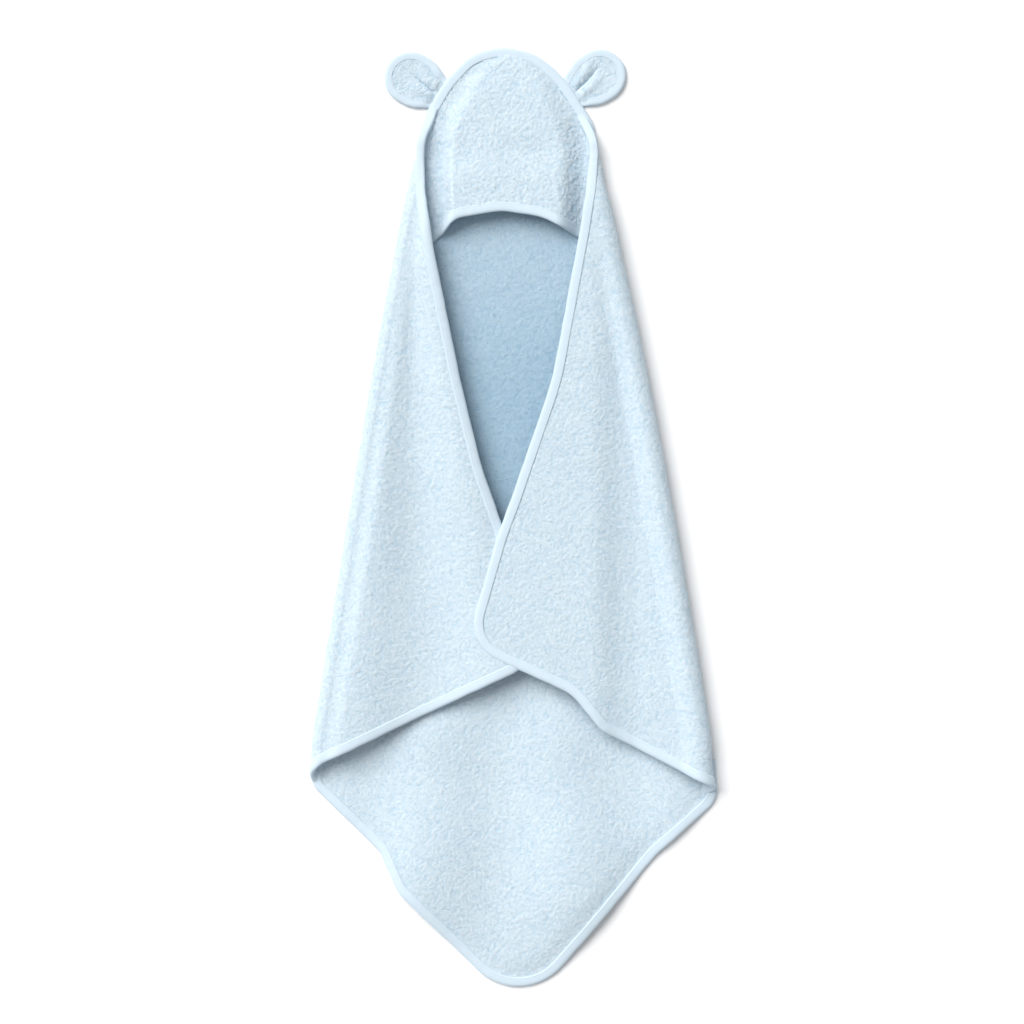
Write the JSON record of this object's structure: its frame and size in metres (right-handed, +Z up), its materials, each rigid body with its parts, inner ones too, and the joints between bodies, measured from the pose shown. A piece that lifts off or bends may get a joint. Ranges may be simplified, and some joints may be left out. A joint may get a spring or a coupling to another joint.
{
  "type": "hooded baby towel",
  "caption": "Terry bath towel for a baby with a hood and round ears, laid flat with both sides folded in over the front.",
  "frame": {"origin": "centre of the folded towel's outline, on the surface it lies on", "axes": "+Y from the pointed tail to the hood, +Z up from the surface, +X towards the right flap, which lies on top"},
  "size_m": [0.4412, 1.011, 0.0314],
  "materials": {
    "terry": "pale blue cotton terry, cut and looped pile, matt",
    "binding": "pale blue smooth cotton binding tape, matt",
    "thread": "pale blue sewing thread"
  },
  "bodies": {
    "root": {"back_panel": "terry", "crown_binding": "binding", "crown_stitching": "thread", "lower_corner_binding": "binding", "lower_corner_stitching": "thread", "left_fold": "terry", "left_fold_binding": "binding", "right_fold": "terry", "right_fold_binding": "binding", "hood_panel": "terry", "hood_mouth_binding": "binding", "hood_mouth_stitching": "thread"},
    "left_flap": {"left_flap_panel": "terry", "left_flap_binding": "binding", "left_flap_stitching": "thread"},
    "right_flap": {"right_flap_panel": "terry", "right_flap_binding": "binding", "right_flap_stitching": "thread"},
    "tail": {"tail_panel": "terry", "tail_binding": "binding", "tail_stitching": "thread"},
    "left_ear": {"left_ear_front": "terry", "left_ear_back": "terry", "left_ear_binding": "binding", "left_ear_stitching": "thread"},
    "right_ear": {"right_ear_front": "terry", "right_ear_back": "terry", "right_ear_binding": "binding", "right_ear_stitching": "thread"}
  },
  "joints": [
    {"name": "right_flap_fold", "type": "hinge", "parent": "root", "child": "right_flap", "pos_m": [0.13916, 0.06, 0.0155], "axis": [-0.1865, 0.9825, 0], "range_deg": [0, 180], "deforming": ["right_fold", "right_fold_binding"]},
    {"name": "left_flap_fold", "type": "hinge", "parent": "root", "child": "left_flap", "pos_m": [-0.15145, 0.06, 0.012], "axis": [-0.1759, -0.9844, 0], "range_deg": [0, 144], "deforming": ["left_fold", "left_fold_binding"]},
    {"name": "tail_fold", "type": "hinge", "parent": "root", "child": "tail", "pos_m": [0, -0.305, 0.0046], "axis": [-1, 0, 0], "range_deg": [0, 140]},
    {"name": "left_ear_fold", "type": "hinge", "parent": "root", "child": "left_ear", "pos_m": [-0.08543, 0.45805, 0.005], "axis": [0.4787, 0.878, 0], "range_deg": [0, 150]},
    {"name": "right_ear_fold", "type": "hinge", "parent": "root", "child": "right_ear", "pos_m": [0.06756, 0.45887, 0.005], "axis": [0.5329, -0.8462, 0], "range_deg": [0, 150]}
  ],
  "couplings": [
    {"joint": "left_flap_fold", "follows": "right_flap_fold", "ratio": 0.8}
  ]
}
